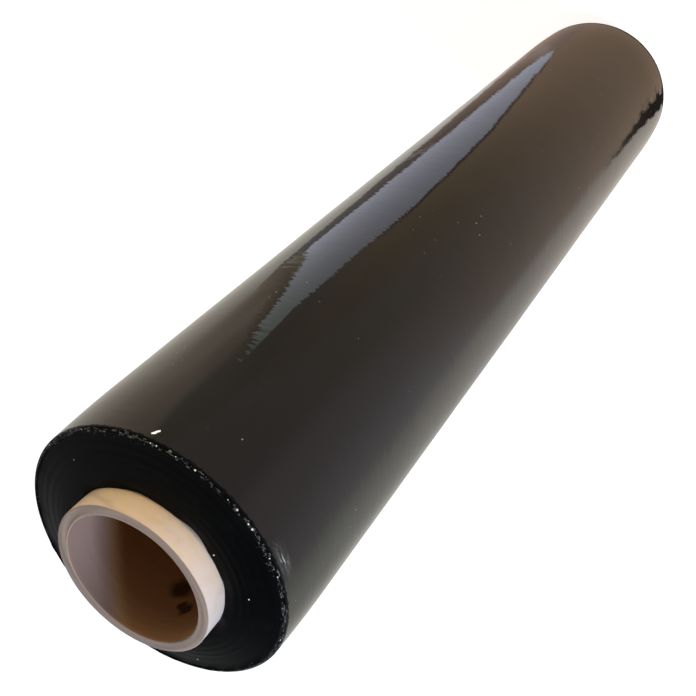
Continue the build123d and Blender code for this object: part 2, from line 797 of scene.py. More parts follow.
@dataclass(frozen=True)
class PaleFloor:
    """The studio floor: a pale board that glows a little, so that its shadows stay soft.

    Attributes:
        pale: Colour of the floor.
        drift_scale: Scale of its faint drift in tone, in grains for each metre.
        glow: Strength of its glow.
    """

    pale: Colour = (0.82, 0.82, 0.82)
    drift_scale: Scale = (1.5, 1.5)
    glow: float = 0.76

    def material(self) -> bpy.types.Material:
        """Build the material: nearly white, with a glow of its own.

        Returns:
            The floor's material.
        """
        graph = Graph(bpy.data.materials.new("pale_floor"))
        base = graph.blend(graph.noise(self.drift_scale), self.pale, shade(self.pale, 0.97))
        glow = {"Emission Color": (1.0, 1.0, 1.0, 1.0), "Emission Strength": self.glow}
        return graph.close("ShaderNodeBsdfPrincipled", {"Base Color": base, "Roughness": 0.7, **glow})


@dataclass(frozen=True)
class GlowingBoard:
    """A board that shines in the colour stored on its points, and lights nothing.

    Attributes:
        name: Name of the material.
    """

    name: str

    def material(self) -> bpy.types.Material:
        """Build the material: plain emission of the stored colour.

        Returns:
            The board's material.
        """
        graph = Graph(bpy.data.materials.new(self.name))
        tone = graph.add("ShaderNodeAttribute", attribute_name="tone").outputs["Color"]
        made = graph.close("ShaderNodeEmission", {"Color": tone, "Strength": 1.0})
        made.cycles.emission_sampling = "NONE"
        return made


# --------------------------------------------------------------------------------------------
# The roll


@dataclass(frozen=True)
class Section:
    """A closed section in a half plane through the axis.

    Attributes:
        radius: Distance of each point from the axis.
        height: Height of each point above the floor.
        marks: What the finish needs to know at each point, by name.
    """

    radius: np.ndarray
    height: np.ndarray
    marks: dict[str, np.ndarray]


@dataclass(kw_only=True)
class TurnedPiece:
    """What the roll's two pieces share: a closed section carried round the axis.

    Attributes:
        low: Lowest corner of the frame's body.
        high: Highest corner of the frame's body.
        around: Points around the piece.
    """

    low: Vector
    high: Vector
    around: int

    @property
    def azimuth(self) -> np.ndarray:
        """Angles around the axis, as a column."""
        return np.arange(self.around)[:, None] * FULL_TURN / self.around

    def outwards(self, height: np.ndarray) -> np.ndarray:
        """1 in the upper half of the roll and -1 in the lower half."""
        return np.sign(height - 0.5 * (self.low.z + self.high.z))

    def publish(
        self, piece: bpy.types.Object, node: str, slot: Slot, marks: dict[str, np.ndarray]
    ) -> None:
        """Store a piece's marks and join it to the frame.

        Args:
            piece: The finished surface.
            node: The frame's node that it stands for.
            slot: The record's slot for its finish; not used.
            marks: Values for the finish, which spread over the piece's grid.
        """
        points = len(piece.data.vertices)
        for name, values in marks.items():
            mark_points(piece, name, np.broadcast_to(values, (self.around, points // self.around)))
        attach(piece, "root")
        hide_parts(node)


@dataclass(kw_only=True)
class FilmRoll(TurnedPiece):
    """The film: one wound body, with rolled-over rims, crowned ends and a torn last turn.

    Attributes:
        core_radius: Outside radius of the core, which the first turn lies on.
        crown: How far the first turns stand proud of the rim.
        crown_pinch: Power that pinches the crown's cosine a little.
        neck_length: Length at each end over which the body thins.
        neck_drop: Radius lost at the rim.
        shoulder: Radius of the rolled-over rim.
        lip_width: Width of the last turns' raised edge.
        lip_height: How high that edge stands.
        lip_wander: How far that edge wanders in height.
        ring_relief: How far single turns stand out of the faces.
        sag: How far the first turns sag where they meet the core.
        sag_reach: How far from the core they sag.
        unevenness: How far the side strays from round.
        crease_azimuth: Direction of the crushed patch below the upper rim.
        crease_drop: Depth of that patch below the rim.
        crease_reach: How far it reaches round the roll and in height.
        crease_slope: How much it climbs for each metre round the roll.
        crease_depth: How far the side is pressed in there.
        rim_glints: Direction and size of each painted glint on the upper rim.
        face_crumbs: Direction, radius and size of each speck of torn film on the upper face.
        flakes: Direction, depth below the rim and size of each dab of the flake on the side.
        tear_reach: Most that the torn, lightless band reaches down the side from each rim.
        foot_tear: How much further it reaches at the lower rim.
    """

    core_radius: float
    around: int = 400
    crown: float = 3.0 * MM
    crown_pinch: float = 1.3
    neck_length: float = 30.0 * MM
    neck_drop: float = 0.8 * MM
    shoulder: float = 1.2 * MM
    lip_width: float = 0.35 * MM
    lip_height: float = 0.28 * MM
    lip_wander: float = 0.20 * MM
    ring_relief: float = 0.035 * MM
    sag: float = 0.55 * MM
    sag_reach: float = 2.0 * MM
    unevenness: float = 0.045 * MM
    crease_azimuth: float = -34.5
    crease_drop: float = 4.4 * MM
    crease_reach: tuple[float, float] = (4.8 * MM, 1.5 * MM)
    crease_slope: float = -0.05
    crease_depth: float = 0.30 * MM
    # Painted glints: white dots on the upper rim in place of the light that its torn edges catch.
    rim_glints: tuple[tuple[float, float], ...] = (
        (28.8, 0.30), (26.3, 0.34), (18.2, 0.24), (10.0, 0.40), (-5.0, 0.24), (-9.7, 0.40),
        (-16.0, 0.38), (-18.3, 0.44), (-30.8, 0.30), (-39.0, 0.30), (61.0, 0.26), (84.0, 0.34),
        (131.0, 0.30), (171.0, 0.38), (-72.0, 0.26), (-118.0, 0.36), (-151.0, 0.30),
    )
    face_crumbs: tuple[tuple[float, float, float], ...] = (
        (-15.5, 30.1, 0.35), (-24.5, 31.2, 0.34), (-53.0, 38.0, 0.32), (-5.0, 29.9, 0.30),
        (74.0, 41.0, 0.26), (148.0, 35.0, 0.32), (-127.0, 44.0, 0.28),
    )
    flakes: tuple[tuple[float, float, float], ...] = (
        (29.9, 4.2, 0.50), (29.5, 4.7, 0.55), (29.1, 5.1, 0.42),
        (30.6, 3.2, 0.42), (30.2, 3.5, 0.55), (29.7, 3.8, 0.45),
    )
    tear_reach: float = 0.6 * MM
    foot_tear: float = 1.7 * MM

    @property
    def outer(self) -> float:
        """Mean radius of the side."""
        return self.high.x - self.unevenness

    @property
    def rim(self) -> float:
        """Radius at the outside of the rim."""
        return self.outer - self.neck_drop

    @property
    def face_end(self) -> float:
        """Radius at which the face meets the lip."""
        return self.rim - self.shoulder - self.lip_width

    @property
    def top(self) -> float:
        """Height of the upper rim."""
        return self.high.z - self.crown

    def face_rise(self, radius: np.ndarray) -> np.ndarray:
        """Height of the crowned face above the rim: a quarter of a cosine, a little pinched."""
        share = np.clip((radius - self.core_radius) / (self.face_end - self.core_radius), 0.0, 1.0)
        return self.crown * np.abs(np.cos(share * QUARTER_TURN)) ** self.crown_pinch

    def section(self) -> Section:
        """The section from the core out along the lower face, up the side and back to the core.

        Each end is the same strip of points mirrored: the crowned face, a lip as half a sine,
        and a shoulder as a quarter circle. On the side, the radius falls towards each rim with
        the square of the distance into the neck, and the points crowd towards the rims.

        Returns:
            The section, marked with the distance from the lip and from the shoulder.
        """
        face_radius = np.linspace(self.core_radius, self.face_end, 32)
        lip_share = np.linspace(0.0, 1.0, 9)[1:-1]
        bend = np.linspace(0.0, QUARTER_TURN, 9)
        shoulder_centre = self.rim - self.shoulder
        end_radius = np.concatenate([
            face_radius,
            self.face_end + lip_share * self.lip_width,
            shoulder_centre + self.shoulder * np.sin(bend),
        ])
        end_rise = np.concatenate([
            self.face_rise(face_radius),
            self.lip_height * np.sin(lip_share * math.pi),
            self.shoulder * (np.cos(bend) - 1.0),
        ])
        crest = self.face_end + 0.5 * self.lip_width
        flat = end_radius[: -bend.size] - crest
        end_from_lip = np.concatenate([flat, 0.5 * self.lip_width + self.shoulder * bend])

        bottom = self.low.z + self.crown
        side_low, side_high = bottom + self.shoulder, self.top - self.shoulder
        side_height = side_low + crowded(132, crowding=0.92) * (side_high - side_low)
        to_rim = np.minimum(side_height - side_low, side_high - side_height)
        into_neck = np.clip(1.0 - to_rim / self.neck_length, 0.0, 1.0)
        side_radius = self.outer - self.neck_drop * into_neck**2

        from_lip = np.concatenate([end_from_lip, end_from_lip[-1] + to_rim, end_from_lip[::-1]])
        off_end = np.zeros(end_radius.size)
        return Section(
            radius=np.concatenate([end_radius, side_radius, end_radius[::-1]]),
            height=np.concatenate([bottom - end_rise, side_height, (self.top + end_rise)[::-1]]),
            marks={"from_lip": from_lip, "down_side": np.concatenate([off_end, to_rim, off_end])},
        )

    def zones(self, section: Section) -> np.ndarray:
        """Which finish each quad takes: clean film on the side, cut edges up to a ragged line.

        The line strays down the side by the tear's reach times the square of a seeded draw for
        each column of quads, and further at the lower rim.

        Args:
            section: The film's section.

        Returns:
            Material numbers on the grid (around, section).
        """
        draws = np.random.default_rng(67).uniform(0.25, 1.0, (self.around, 1)) ** 2
        torn = self.tear_reach * draws + self.foot_tear * (self.outwards(section.height) < 0.0)
        return np.where(section.marks["down_side"] > torn, Zone.SIDE.value, Zone.END.value)

    def on_side(self, section: Section) -> np.ndarray:
        """Share of each point that lies on the side, not on an end or its shoulder."""
        return smoothstep(self.rim - 0.1 * MM, self.rim, section.radius)

    def crushed(self, section: Section) -> np.ndarray:
        """Share of the crushed patch at each point: a long bell round the roll, narrow in height.

        Args:
            section: The film's section.

        Returns:
            The share on the piece's grid, zero away from the side.
        """
        along = turn_from(self.azimuth, self.crease_azimuth) * self.outer
        middle = self.top - self.crease_drop + self.crease_slope * along
        across = section.height - middle
        around_reach, height_reach = self.crease_reach
        return self.on_side(section) * bell(along, around_reach) * bell(across, height_reach)

    def pulled_radius(self, section: Section, crushed: np.ndarray) -> np.ndarray:
        """Radii with slow waves on the side, less the depth of the crushed patch.

        Args:
            section: The film's section.
            crushed: Share of the crushed patch.

        Returns:
            Radii on the piece's grid.
        """
        uneven = waves(self.azimuth, section.height, seed=5, count=14, longest=160.0 * MM)
        strayed = self.on_side(section) * self.unevenness * np.clip(0.6 * uneven, -1.0, 1.0)
        return section.radius + strayed - self.crease_depth * crushed

    def rising_ends(self, section: Section) -> np.ndarray:
        """How far the ends stand out: a wandering lip, fine rings, and a sag at the core.

        Args:
            section: The film's section.

        Returns:
            Lifts away from the roll's middle, on the piece's grid.
        """
        end = self.outwards(section.height) * 10.0 * MM
        wander = waves(self.azimuth, end, seed=11, count=12, longest=20.0 * MM, most=40)
        rings = waves(self.azimuth, section.radius, seed=23, count=18, longest=4.0 * MM)
        sagging = waves(self.azimuth, end, seed=31, count=10, longest=20.0 * MM, most=9)
        on_lip = bell(section.marks["from_lip"], 0.6 * self.lip_width) * (section.radius < self.rim)
        on_face = 1.0 - smoothstep(self.face_end, self.face_end + self.lip_width, section.radius)
        off_core = smoothstep(self.core_radius, self.core_radius + 1.5 * MM, section.radius)
        at_core = bell(section.radius - self.core_radius, self.sag_reach)
        lip = on_lip * self.lip_wander * wander
        face = on_face * off_core * self.ring_relief * rings
        return lip + face - at_core * self.sag * np.clip(0.8 + sagging, 0.0, 2.0)

    def specks(self) -> tuple[tuple[Speck, ...], tuple[Speck, ...]]:
        """Place the painted glints on the upper rim and the specks that cling to the film.

        Returns:
            Painted glints on the rim with specks on the face, and dabs of the flake on the side.
        """
        rim_radius = self.rim - 0.6 * self.shoulder
        # Painted glints on the rim first, then the specks on the face.
        crumbs_and_glints = [Speck(place, rim_radius, self.top, size * MM) for place, size in self.rim_glints]
        for place, radius, size in self.face_crumbs:
            rise = float(self.face_rise(np.array(radius * MM)))
            crumbs_and_glints.append(Speck(place, radius * MM, self.top + rise, size * MM))
        dabs = (
            Speck(place, self.rim, self.top - drop * MM, size * MM)
            for place, drop, size in self.flakes
        )
        return tuple(crumbs_and_glints), tuple(dabs)

    def build(self) -> bpy.types.Object:
        """Work out the wound body and give it its finishes.

        The side gets slow waves and the crushed patch, and the ends get their lip, rings and
        sag, which never pass the ends of the frame's own body.

        Returns:
            The film, riding on the frame and standing for its film node.
        """
        section = self.section()
        outwards = self.outwards(section.height)
        crushed = self.crushed(section)
        radius = self.pulled_radius(section, crushed)
        height = section.height + outwards * self.rising_ends(section)
        height = np.clip(height, self.low.z, self.high.z)
        piece = surface("film_roll_wound", turned(radius, height, self.azimuth), True, True)
        piece.data.polygons.foreach_set("material_index", self.zones(section).ravel())
        crumbs_and_glints, flakes = self.specks()
        piece.data.materials.append(PolishedFilm(flakes).material())
        piece.data.materials.append(FilmEdges(crumbs_and_glints).material())
        marks = {"from_lip": section.marks["from_lip"], "crushed": crushed * (outwards > 0.0)}
        self.publish(piece, "film_roll", Slot.FILM, marks)
        return piece


@dataclass(kw_only=True)
class CoreTube(TurnedPiece):
    """The core: a spirally wound cardboard tube with square-cut ends that show wear.

    Attributes:
        bore_radius: Radius of the bore.
        edge_round: Rounding of the cut edges.
        pitch: How far a ply's seam climbs in one turn.
        seam_width: Half the width of a seam.
        seam_depth: How far the wall dips in a seam.
        bore_turn: How far round the bore's seam lies from the outside's, as a share of a turn.
        out_of_round: How far the outside strays from round.
        end_wear: How far the upper cut end is ground down by wear.
        smudge_marks: Direction, depth below the upper end and size of each dab of ink in the bore.
        side_palest: Direction in which the painted light on the outside is brightest.
        cut_palest: Direction in which the painted light on the cut ends is brightest.
        bore_light_azimuth: Direction in which the bore's painted light reaches deepest.
        bore_light_depth: Depth of the painted light there.
        bore_light_softness: Half the width over which the painted light ends.
    """

    bore_radius: float
    around: int = 360
    edge_round: float = 0.4 * MM
    pitch: float = 76.0 * MM
    seam_width: float = 0.8 * MM
    seam_depth: float = 0.10 * MM
    bore_turn: float = 0.35
    out_of_round: float = 0.14 * MM
    end_wear: float = 0.20 * MM
    smudge_marks: tuple[tuple[float, float, float], ...] = (
        (-144.5, 22.8, 5.4), (-128.0, 15.2, 3.4), (-133.0, 16.6, 2.6),
    )
    side_palest: float = -65.0
    cut_palest: float = 10.0
    bore_light_azimuth: float = 105.0
    bore_light_depth: float = 23.8 * MM
    bore_light_softness: float = 5.2 * MM

    def section(self) -> Section:
        """The ring section, from the bore's foot, out, up the outside, in and down the bore.

        Returns:
            The section, marked where it is a cut end and where it is the bore.
        """
        outer = self.high.x
        bend = np.linspace(0.0, QUARTER_TURN, 5)
        inner_bend = self.bore_radius + self.edge_round * (1.0 - np.sin(bend))
        outer_bend = outer - self.edge_round * (1.0 - np.sin(bend))
        drop = self.edge_round * (1.0 - np.cos(bend))
        flat = np.linspace(self.bore_radius + self.edge_round, outer - self.edge_round, 12)[1:-1]
        end_radius = np.concatenate([inner_bend[::-1], flat, outer_bend])
        end_drop = np.concatenate([drop[::-1], np.zeros(flat.size), drop])
        straight = self.high.z - self.low.z - 2.0 * self.edge_round
        wall = self.low.z + self.edge_round + crowded(90, crowding=0.85) * straight
        outside, bore_side = np.full(wall.size, outer), np.full(wall.size, self.bore_radius)
        radius = np.concatenate([end_radius, outside, end_radius[::-1], bore_side])
        foot, head = self.low.z + end_drop, self.high.z - end_drop
        height = np.concatenate([foot, wall, head[::-1], wall[::-1]])
        to_end = np.minimum(height - self.low.z, self.high.z - height)
        cut = 1.0 - smoothstep(0.0, self.edge_round, to_end)
        bore = (radius < self.bore_radius + 0.5 * self.edge_round).astype(float)
        return Section(radius, height, {"cut": cut, "bore": bore})

    def painted_bore_light(self, height: np.ndarray) -> np.ndarray:
        """Share of painted light in the bore: down to the depth that slanting light reaches.

        That depth is a cosine of the angle from the side that the light reaches deepest.

        Args:
            height: Heights of the section.

        Returns:
            The share on the piece's grid.
        """
        reach = self.bore_light_depth * np.cos(self.azimuth - math.radians(self.bore_light_azimuth))
        return smoothstep(-self.bore_light_softness, self.bore_light_softness, reach - (self.high.z - height))

    def seam(self, height: np.ndarray, bore: np.ndarray) -> np.ndarray:
        """Cover of the seams: a bell of the distance to a helix that climbs a pitch each turn.

        Args:
            height: Heights of the section.
            bore: Where the section is the bore, whose ply is wound a part of a turn further on.

        Returns:
            The cover on the piece's grid.
        """
        climb = (self.azimuth / FULL_TURN + height / self.pitch + self.bore_turn * bore) % 1.0
        return bell(np.minimum(climb, 1.0 - climb) * self.pitch, self.seam_width)

    def wear_and_painted_light(self, section: Section) -> np.ndarray:
        """Share of painted light: in the bore down to where slanting light reaches, and elsewhere a
        cosine that is brightest on one side.

        Args:
            section: The tube's section.

        Returns:
            The share on the piece's grid.
        """
        cut, bore = section.marks["cut"] > 0.5, section.marks["bore"] > 0.5
        # Painted light: a cosine that is brightest towards a set direction, one for the outside and one
        # for the cut ends.
        palest = np.where(cut, self.cut_palest, self.side_palest)
        painted_lit = 0.5 + 0.5 * np.cos(self.azimuth - np.radians(palest))
        return np.where(bore & ~cut, self.painted_bore_light(section.height), painted_lit)

    def build(self) -> bpy.types.Object:
        """Work out the tube and give it its finish.

        The walls dip in the seams, the outside is a little out of round, and the upper cut end
        is ground down unevenly by a fraction of a millimetre.

        Returns:
            The tube, riding on the frame and standing for its core node.
        """
        section = self.section()
        cut, bore = section.marks["cut"], section.marks["bore"]
        seam = self.seam(section.height, bore)
        uneven = waves(self.azimuth, section.height, seed=37, count=9, longest=400.0 * MM, most=7)
        dip = self.seam_depth * seam * (1.0 - cut)
        dip = dip + (1.0 - bore) * self.out_of_round * np.clip(0.5 + 0.4 * uneven, 0.0, 1.0)
        radius = section.radius + (2.0 * bore - 1.0) * dip
        chewed = waves(self.azimuth, section.radius, seed=41, count=12, longest=6.0 * MM, most=9)
        upper_cut = (section.height > self.high.z - 2.0 * self.edge_round) * cut
        height = section.height - upper_cut * self.end_wear * np.clip(0.5 + 0.5 * chewed, 0.0, 1.0)
        piece = surface("core_tube_board", turned(radius, height, self.azimuth), True, True)
        smudges = tuple(
            Speck(place, self.bore_radius, self.high.z - depth * MM, size * MM)
            for place, depth, size in self.smudge_marks
        )
        piece.data.materials.append(WoundBoard(smudges).material())
        marks = {"cut": cut, "bore": bore, "seam": seam, "wear_and_painted_light": self.wear_and_painted_light(section)}
        self.publish(piece, "core_tube", Slot.CARDBOARD, marks)
        return piece


# --------------------------------------------------------------------------------------------
# The studio


@dataclass(frozen=True)
class Tone:
    """A soft patch of colour on the mirrored board.

    Attributes:
        place: Centre on the floor.
        reach: How far the patch spreads.
        colour: Its brightness in red, green and blue.
    """

    place: Place
    reach: float
    colour: Colour


@dataclass(frozen=True)
class Rung:
    """A rung of a patch's ladder: a place and a colour at each end.

    Attributes:
        first: Place of the first end on the floor.
        second: Place of the second end.
        first_colour: Colour at the first end.
        second_colour: Colour at the second end, where it isn't the same.
    """

    first: Place
    second: Place
    first_colour: Colour
    second_colour: Colour | None = None

    @property
    def ends(self) -> tuple[Place, Place]:
        """Both places."""
        return self.first, self.second

    @property
    def colours(self) -> tuple[Colour, Colour]:
        """Both colours."""
        return self.first_colour, self.second_colour or self.first_colour


@dataclass(frozen=True)
class Patch:
    """A sharp-edged patch above the mirrored board, drawn as a ladder with straight rungs.

    Attributes:
        name: Name of the board.
        lift: How high the patch lies above the floor.
        rungs: Its rungs in order.
        fringe_deg: Most that ridges pull the second side further, as teeth.
    """

    name: str
    lift: float
    rungs: tuple[Rung, ...]
    fringe_deg: float = 0.0


@dataclass(frozen=True)
class Lamp:
    """A soft rectangular lamp that faces the roll's upper end.

    Attributes:
        name: Name of the lamp.
        azimuth_deg: Direction from the roll, counted from -Y towards +X.
        elevation_deg: Angle above the roll's upper end.
        distance: Distance from the roll's upper end.
        size: Width and height.
        power: Power in watts.
        colour: Colour of the light.
    """

    name: str
    azimuth_deg: float
    elevation_deg: float
    distance: float
    size: tuple[float, float]
    power: float
    colour: Colour


@dataclass
class Studio:
    """Floor, mirrored boards, lamps and backdrop around the roll.

    Attributes:
        roll_top: Height of the roll's upper end.
        floor_reach: Half the floor's side.
        board_inside: Inner radius of the mirrored board, within the roll.
        board_reach: Outer radius of the mirrored board.
        board_lift: How high it lies above the floor.
        board_fade: Share of its reach from which it fades to the floor's white.
        floor_tone: Brightness of the bare floor, which the mirrored board fades to.
        wall_line: Place in Y of the line where the room's warm floor meets its grey wall.
        line_width: Half the width of that meeting beside the roll.
        line_spread: How much wider it gets for each metre of distance.
        line_near: Radius from which it widens.
        sway_deg: Most that a mirrored point is pulled sideways by the film's ridges.
        sway_step: Spacing of the ridges in the logarithm of the distance from the axis.
        sway_fade: Distances from the axis between which the pull fades away.
        horizon: Colour of the backdrop up to just above the horizon.
        overhead: Colour of the backdrop higher up.
        glow_towards: Direction of the backdrop's soft glow.
        glow: Brightness of that glow.
        warm: Tones on the floor's side of the wall line.
        grey: Tones on the wall's side of it.
        patches: Window, its dark frame and reveal, and the gap beneath the wall.
        lamps: The lamps.
    """

    roll_top: float
    floor_reach: float = 40.0
    board_inside: float = 0.02
    board_reach: float = 1.3
    board_lift: float = 0.4 * MM
    board_fade: float = 0.8
    floor_tone: float = 1.15
    wall_line: float = -0.036
    line_width: float = 0.004
    line_spread: float = 0.16
    line_near: float = 0.06
    sway_deg: float = 2.6
    sway_step: float = 0.012
    sway_fade: tuple[float, float] = (0.12, 0.32)
    horizon: Colour = (0.86, 0.86, 0.86)
    overhead: Colour = (0.09, 0.09, 0.095)
    glow_towards: Point = (0.33, 0.63, 0.70)
    glow: float = 0.5
    warm: tuple[Tone, ...] = (
        Tone((0.02, -0.10), 0.10, (0.65, 0.45, 0.31)),
        Tone((0.065, -0.035), 0.030, (0.44, 0.32, 0.23)),
        Tone((0.13, -0.21), 0.09, (0.52, 0.39, 0.25)),
        Tone((-0.14, -0.18), 0.12, (0.60, 0.48, 0.39)),
        Tone((0.02, -0.38), 0.14, (0.49, 0.42, 0.33)),
        Tone((0.20, -0.33), 0.09, (0.42, 0.33, 0.23)),
        Tone((0.38, -0.27), 0.08, (0.34, 0.30, 0.25)),
        Tone((0.05, -0.62), 0.18, (0.46, 0.41, 0.38)),
        Tone((-0.34, -0.45), 0.18, (0.62, 0.54, 0.55)),
        Tone((-0.50, -0.20), 0.16, (0.67, 0.63, 0.64)),
        Tone((0.51, -0.12), 0.07, (0.58, 0.46, 0.35)),
        Tone((0.64, -0.08), 0.11, (0.76, 0.62, 0.49)),
        Tone((0.50, -0.33), 0.09, (0.42, 0.38, 0.31)),
    )
    grey: tuple[Tone, ...] = (
        Tone((0.055, -0.010), 0.035, (0.41, 0.28, 0.22)),
        Tone((-0.14, 0.02), 0.10, (0.75, 0.67, 0.59)),
        Tone((-0.38, 0.04), 0.16, (0.80, 0.75, 0.69)),
        Tone((-0.62, 0.06), 0.16, (0.78, 0.79, 0.72)),
        Tone((-0.45, 0.35), 0.16, (0.64, 0.63, 0.58)),
        Tone((-0.18, 0.22), 0.14, (0.56, 0.54, 0.49)),
        Tone((0.12, 0.10), 0.08, (0.78, 0.74, 0.68)),
        Tone((0.26, 0.24), 0.12, (0.78, 0.75, 0.66)),
        Tone((0.42, 0.07), 0.05, (0.42, 0.32, 0.22)),
        Tone((0.50, 0.08), 0.07, (0.60, 0.49, 0.38)),
        Tone((0.66, 0.05), 0.12, (0.80, 0.66, 0.53)),
        Tone((0.48, 0.36), 0.18, (0.80, 0.72, 0.60)),
        Tone((0.00, 0.70), 0.35, (0.66, 0.64, 0.58)),
    )
    patches: tuple[Patch, ...] = (
        Patch("window_board", 0.6 * MM, (
            Rung((0.072, -0.029), (0.073, -0.034), (0.85, 0.88, 1.00)),
            Rung((0.092, -0.014), (0.100, -0.050), (0.87, 0.90, 1.04), (0.86, 0.88, 1.02)),
            Rung((0.145, 0.003), (0.150, -0.108), (0.92, 0.94, 1.10), (0.86, 0.87, 1.02)),
            Rung((0.235, 0.040), (0.212, -0.165), (1.02, 1.02, 1.20), (0.86, 0.86, 1.02)),
            Rung((0.342, 0.093), (0.385, -0.219), (1.22, 1.22, 1.46), (0.88, 0.91, 0.90)),
            Rung((0.455, -0.154), (0.405, -0.245), (0.94, 0.99, 0.96), (0.82, 0.87, 0.76)),
            Rung((0.455, -0.285), (0.445, -0.290), (0.62, 0.66, 0.54)),
        )),
        Patch("window_frame_near", 0.5 * MM, (
            Rung((0.070, -0.022), (0.066, 0.004), (0.58, 0.45, 0.42), (0.40, 0.29, 0.24)),
            Rung((0.090, -0.020), (0.088, 0.034), (0.36, 0.26, 0.20), (0.38, 0.27, 0.21)),
            Rung((0.188, 0.010), (0.183, 0.085), (0.22, 0.17, 0.15), (0.28, 0.21, 0.18)),
        )),
        Patch("window_frame_side", 0.5 * MM, (
            Rung((0.080, -0.036), (0.078, -0.041), (0.34, 0.25, 0.19)),
            Rung((0.100, -0.048), (0.097, -0.056), (0.24, 0.18, 0.13)),
            Rung((0.150, -0.106), (0.145, -0.118), (0.24, 0.18, 0.13)),
            Rung((0.212, -0.162), (0.204, -0.178), (0.26, 0.20, 0.15), (0.28, 0.22, 0.16)),
            Rung((0.300, -0.190), (0.296, -0.204), (0.36, 0.29, 0.22), (0.42, 0.34, 0.26)),
        )),
        Patch("window_frame_far", 0.5 * MM, (
            Rung((0.192, 0.000), (0.187, 0.088), (0.22, 0.18, 0.16), (0.26, 0.22, 0.19)),
            Rung((0.350, 0.060), (0.350, 0.170), (0.28, 0.27, 0.25), (0.32, 0.30, 0.28)),
        )),
        Patch("window_reveal", 0.45 * MM, (
            Rung((0.346, 0.163), (0.402, 0.150), (0.34, 0.27, 0.20), (0.54, 0.43, 0.32)),
            Rung((0.452, -0.215), (0.497, -0.215), (0.34, 0.27, 0.20), (0.50, 0.40, 0.30)),
        )),
        Patch("wall_gap", 0.8 * MM, (
            Rung((-0.034, -0.028), (-0.030, -0.036), (0.04, 0.03, 0.03)),
            Rung((-0.055, -0.028), (-0.053, -0.043), (0.04, 0.03, 0.03), (0.05, 0.04, 0.03)),
            Rung((-0.080, -0.031), (-0.082, -0.042), (0.09, 0.07, 0.06), (0.12, 0.09, 0.08)),
            Rung((-0.108, -0.034), (-0.111, -0.037), (0.45, 0.38, 0.32)),
        ), fringe_deg=11.0),
    )
    lamps: tuple[Lamp, ...] = (
        Lamp("key_lamp", -75.0, 20.5, 1.6, (0.8, 0.45), 32.0, (0.66, 0.80, 1.0)),
        Lamp("warm_lamp", 15.0, -6.0, 1.5, (0.8, 0.4), 17.0, (1.0, 0.78, 0.52)),
    )

    def lay_floor(self) -> None:
        """Lay a flat square floor."""
        share = np.linspace(-1.0, 1.0, 21) * self.floor_reach
        across, along = np.meshgrid(share, share, indexing="ij")
        floor = surface("studio_floor", np.stack([across, along, 0.0 * across], axis=-1))
        floor.data.materials.append(PaleFloor().material())

    def mirror_only(self, board: bpy.types.Object) -> None:
        """Let only polished surfaces see a board.

        Args:
            board: The board, which joins the studio.
        """
        board.visible_camera = False
        board.visible_diffuse = False
        board.visible_transmission = False
        board.visible_volume_scatter = False
        board.visible_shadow = False

    def melted(self, tones: Sequence[Tone], points: np.ndarray) -> np.ndarray:
        """Tones melted into each other: their mean, weighted by a bell of the distance to each.

        Args:
            tones: The tones.
            points: Places on the floor.

        Returns:
            A colour for each place.
        """
        total = np.zeros(points.shape)
        weights = np.zeros(points.shape[:-1])
        for tone in tones:
            away = np.hypot(points[..., 0] - tone.place[0], points[..., 1] - tone.place[1])
            weight = bell(away, tone.reach) + 1e-9
            total += weight[..., None] * np.array(tone.colour)
            weights += weight
        return total / weights[..., None]

    def lay_soft_board(self) -> None:
        """Lay the round board of soft tones.

        The warm and the grey tones meet at the wall line, in a ramp that starts narrow beside
        the roll and widens with the distance from it. The board fades to the floor's own white
        at its edge.
        """
        rows, columns = 180, 100
        azimuth = np.arange(rows)[:, None] * FULL_TURN / rows
        share = np.linspace(0.0, 1.0, columns) ** 2
        rings = self.board_inside + (self.board_reach - self.board_inside) * share
        radius = np.broadcast_to(rings, (rows, columns))
        points = turned(radius, np.full(radius.shape, self.board_lift), azimuth)
        board = surface("soft_board", points, close_rows=True)
        spread = self.line_width + self.line_spread * np.clip(radius - self.line_near, 0.0, None)
        past_line = (points[..., 1] - self.wall_line) / spread
        wall_share = smoothstep(-1.0, 1.0, past_line)[..., None]
        warm, grey = self.melted(self.warm, points), self.melted(self.grey, points)
        tones = warm * (1.0 - wall_share) + grey * wall_share
        edge = smoothstep(self.board_fade * self.board_reach, self.board_reach, radius)[..., None]
        tint_points(board, "tone", tones * (1.0 - edge) + self.floor_tone * edge)
        board.data.materials.append(GlowingBoard("soft_board_glow").material())
        self.mirror_only(board)

    def between(
        self, ends: Sequence[tuple], along: np.ndarray, across: np.ndarray
    ) -> np.ndarray:
        """Values spread over a ladder: even along each side from rung to rung, then even across.

        Args:
            ends: A pair of places or colours for each rung.
            along: Place along the ladder, counted in rungs.
            across: Share of the way from the first side to the second.

        Returns:
            A value for each pair of shares, shape (along, across, parts).
        """
        pairs = np.array(ends)
        steps = np.arange(len(pairs))
        parts = range(pairs.shape[-1])
        first, second = (
            np.stack([np.interp(along, steps, pairs[:, side, part]) for part in parts], axis=-1)[:, None]
            for side in (0, 1)
        )
        share = across[None, :, None]
        return first * (1.0 - share) + second * share

    def sway(self, radius: np.ndarray, seed: int) -> np.ndarray:
        """Pull of the film's ridges on a mirrored point near the roll's foot.

        Seeded draws between -1 and 1 at even steps of the logarithm of the radius, joined by
        straight lines, which fade with the distance from the roll.

        Args:
            radius: Distances from the axis.
            seed: Seed of the fixed draws.

        Returns:
            Pulls between -1 and 1.
        """
        draws = np.random.default_rng(seed).uniform(-1.0, 1.0, 400)
        steps = np.arange(draws.size) * self.sway_step
        pull = np.interp(np.log(radius / self.board_inside), steps, draws)
        return pull * (1.0 - smoothstep(*self.sway_fade, radius))

